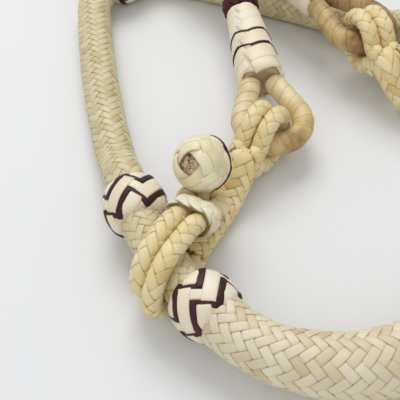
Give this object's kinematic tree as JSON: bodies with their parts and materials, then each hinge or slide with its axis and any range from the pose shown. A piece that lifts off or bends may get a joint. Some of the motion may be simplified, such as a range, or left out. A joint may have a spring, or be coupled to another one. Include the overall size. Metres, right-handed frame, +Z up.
{
  "type": "rope_halter",
  "caption": "Braided rawhide halter: a thick nose braid, a finer jaw braid, corded connectors with buttons, wrapped cheek loops and an unfastened crown strap, laid flat.",
  "frame": {"origin": "on the table, inside the noseband's opening and on its line of symmetry", "axes": "+Y runs from the nose part towards the jaw part and the crown, +X to the halter's right side as it lies, +Z up from the table"},
  "size_m": [0.2214, 0.4466, 0.0372],
  "materials": {
    "cream_braid": "satin braided rawhide with darker creases",
    "olive_braid": "satin, finer braid, slightly olive",
    "white_lace": "satin, wide pale lace",
    "tan_wrap": "satin, spiral wrapped, darker towards the round end",
    "core_rawhide": "rough twisted rawhide",
    "burgundy_lace": "slightly glossy dyed lace",
    "pith": "rough, spongy"
  },
  "bodies": {
    "noseband": {"noseband_core": "core_rawhide", "body_braid": "olive_braid", "nose_braid": "cream_braid", "left_front_knot": "white_lace", "left_front_knot_inlay": "burgundy_lace", "left_rear_knot": "white_lace", "left_rear_knot_inlay": "burgundy_lace", "right_front_knot": "white_lace", "right_front_knot_inlay": "burgundy_lace", "right_rear_knot": "white_lace", "right_rear_knot_inlay": "burgundy_lace", "jaw_knot": "white_lace", "jaw_knot_inlay": "burgundy_lace", "lead_loop": "tan_wrap"},
    "left_connector": {"left_connector_cord": "cream_braid", "left_middle_braid": "cream_braid", "left_button_core": "pith", "left_button_cover": "white_lace", "left_button_inlay": "burgundy_lace", "left_eye_cords": "cream_braid"},
    "left_keeper": {"left_keeper": "white_lace"},
    "left_cheek": {"left_cheek_loop": "tan_wrap", "left_long_knot": "white_lace", "left_long_knot_inlay": "burgundy_lace", "left_ring_knot": "burgundy_lace", "left_cheek_strap": "olive_braid", "crown_loop_knot": "white_lace", "crown_loop": "tan_wrap"},
    "right_connector": {"right_connector_cord": "cream_braid", "right_middle_braid": "cream_braid", "right_button_core": "pith", "right_button_cover": "white_lace", "right_button_inlay": "burgundy_lace", "right_eye_cords": "cream_braid"},
    "right_keeper": {"right_keeper": "white_lace"},
    "right_cheek": {"right_cheek_loop": "tan_wrap", "right_long_knot": "white_lace", "right_long_knot_inlay": "burgundy_lace", "right_ring_knot": "burgundy_lace", "crown_strap": "olive_braid", "crown_strap_knot": "white_lace", "crown_button_core": "pith", "crown_button_cover": "white_lace"}
  },
  "joints": [
    {"name": "left_connector_swing", "type": "hinge", "parent": "noseband", "child": "left_connector", "pos_m": [-0.08194, -0.03008, 0.01435], "axis": [-0.1392, -0.9903, 0], "range_deg": [0, 75]},
    {"name": "left_keeper_slide", "type": "slide", "parent": "left_connector", "child": "left_keeper", "axis": [0.8225, 0.3491, -0.449], "range_m": [-0.0011, 0]},
    {"name": "left_cheek_swing", "type": "hinge", "parent": "left_connector", "child": "left_cheek", "pos_m": [-0.01985, -0.00372, 0.0126], "axis": [0.3907, -0.9205, 0], "range_deg": [0, 95]},
    {"name": "right_connector_swing", "type": "hinge", "parent": "noseband", "child": "right_connector", "pos_m": [0.08194, -0.03008, 0.01435], "axis": [-0.1392, 0.9903, 0], "range_deg": [0, 75]},
    {"name": "right_keeper_slide", "type": "slide", "parent": "right_connector", "child": "right_keeper", "axis": [-0.867, 0.2162, -0.449], "range_m": [-0.003, 0]},
    {"name": "right_cheek_swing", "type": "hinge", "parent": "right_connector", "child": "right_cheek", "pos_m": [0.04503, 0.00607, 0.0204], "axis": [0.9455, -0.3256, 0], "range_deg": [0, 95]}
  ]
}
